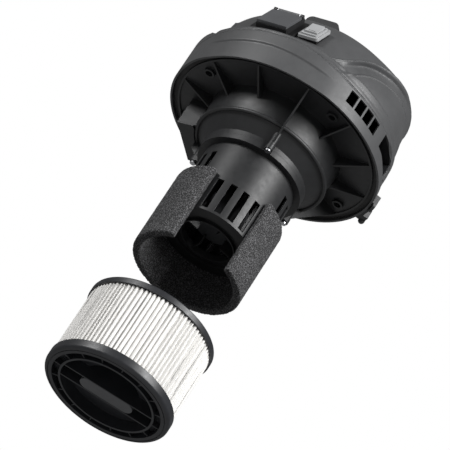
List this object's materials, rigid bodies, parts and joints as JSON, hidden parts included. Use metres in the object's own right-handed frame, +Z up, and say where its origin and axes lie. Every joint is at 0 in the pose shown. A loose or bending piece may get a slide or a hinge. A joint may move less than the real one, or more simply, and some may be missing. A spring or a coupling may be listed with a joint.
{
  "type": "shop vacuum motor head with filters",
  "caption": "Domed shop vacuum motor head with switch, power take-off and slotted float cage, with a foam sleeve and a pleated cartridge filter drawn off below it.",
  "frame": {"origin": "on the suction axis, in the plane of the skirt's bottom edge, where the head sits on the tank's rim", "axes": "+Z up along the suction axis, -Y the front with the switch and the power take-off, +X to the right seen from the front"},
  "size_m": [0.306, 0.318, 0.6227],
  "materials": {
    "cover_plastic": "satin moulded plastic with a fine spark-eroded grain",
    "black_plastic": "semi-gloss black moulded plastic",
    "panel_black": "deep matt black",
    "lid_grey": "mid-grey satin plastic",
    "switch_grey": "light grey satin plastic",
    "seal_rubber": "matt black rubber",
    "steel": "bright zinc-plated steel",
    "shroud_steel": "pressed sheet steel",
    "cast_aluminium": "die-cast aluminium",
    "core_steel": "laminated electrical steel",
    "copper": "enamelled copper",
    "brass": "stamped brass",
    "carbon": "pressed carbon",
    "board": "coated circuit board",
    "foam": "open-cell black foam",
    "cap_rubber": "moulded black rubber with a slight blue tint",
    "filter_paper": "warm white pleated filter paper",
    "core_plastic": "perforated dark grey plastic",
    "float_plastic": "dark plastic float"
  },
  "bodies": {
    "head": {"top_cover": "cover_plastic", "panel_plate": "panel_black", "carry_handle": "black_plastic", "handle_well": "black_plastic", "handle_screws": "steel", "pocket_left": "black_plastic", "pocket_right": "black_plastic", "cord_hook_left": "black_plastic", "cord_hook_right": "black_plastic", "cord_gland": "seal_rubber", "cord_clamp": "black_plastic", "base_housing": "black_plastic", "rim_seal": "seal_rubber", "cover_screws": "steel", "duct_cover": "black_plastic", "exhaust_foam": "foam", "float_cage": "black_plastic", "cage_screws": "steel", "motor_gasket": "seal_rubber", "fan_shroud": "shroud_steel", "bearing_plate": "cast_aluminium", "lower_bearing": "steel", "motor_frame": "cast_aluminium", "field_core": "core_steel", "field_coils": "copper", "brush_holders": "brass", "carbon_brushes": "carbon", "upper_bearing": "steel", "mount_ring": "seal_rubber", "motor_hood": "black_plastic", "hood_screws": "steel", "switch_bezel": "switch_grey", "rocker_pin": "steel", "switch_body": "panel_black", "socket_frame": "panel_black", "socket_insert": "panel_black", "lid_pin": "steel", "control_board": "board"},
    "rotor": {"shaft": "steel", "impeller": "cast_aluminium", "armature_core": "core_steel", "armature_windings": "copper", "commutator": "copper", "cooling_fan": "black_plastic"},
    "float": {"float_body": "float_plastic"},
    "rocker": {"switch_rocker": "switch_grey"},
    "lid": {"socket_lid": "lid_grey"},
    "foam": {"foam_sleeve": "foam"},
    "cartridge": {"cartridge_top_cap": "cap_rubber", "cartridge_bottom_cap": "cap_rubber", "cartridge_core": "core_plastic", "pleated_filter": "filter_paper", "grip_tab": "lid_grey"}
  },
  "joints": [
    {"name": "rotor_spin", "type": "hinge", "parent": "head", "child": "rotor", "pos_m": [0, 0, 0], "axis": [0, 0, 1], "continuous": true},
    {"name": "float_rise", "type": "slide", "parent": "head", "child": "float", "axis": [0, 0, 1], "range_m": [0, 0.063]},
    {"name": "switch_press", "type": "hinge", "parent": "head", "child": "rocker", "pos_m": [0.029, -0.12272, 0.09418], "axis": [1, 0, 0], "range_deg": [-14, 0]},
    {"name": "lid_open", "type": "hinge", "parent": "head", "child": "lid", "pos_m": [-0.018, -0.12197, 0.11303], "axis": [-1, 0, 0], "range_deg": [0, 95], "stiffness_Nm_per_rad": 0.01, "springref_deg": -34.38},
    {"name": "sleeve_slide", "type": "slide", "parent": "head", "child": "foam", "axis": [0, 0, 1], "range_m": [0, 0.048]},
    {"name": "cartridge_slide", "type": "slide", "parent": "foam", "child": "cartridge", "axis": [0, 0, 1], "range_m": [0, 0.179]}
  ]
}
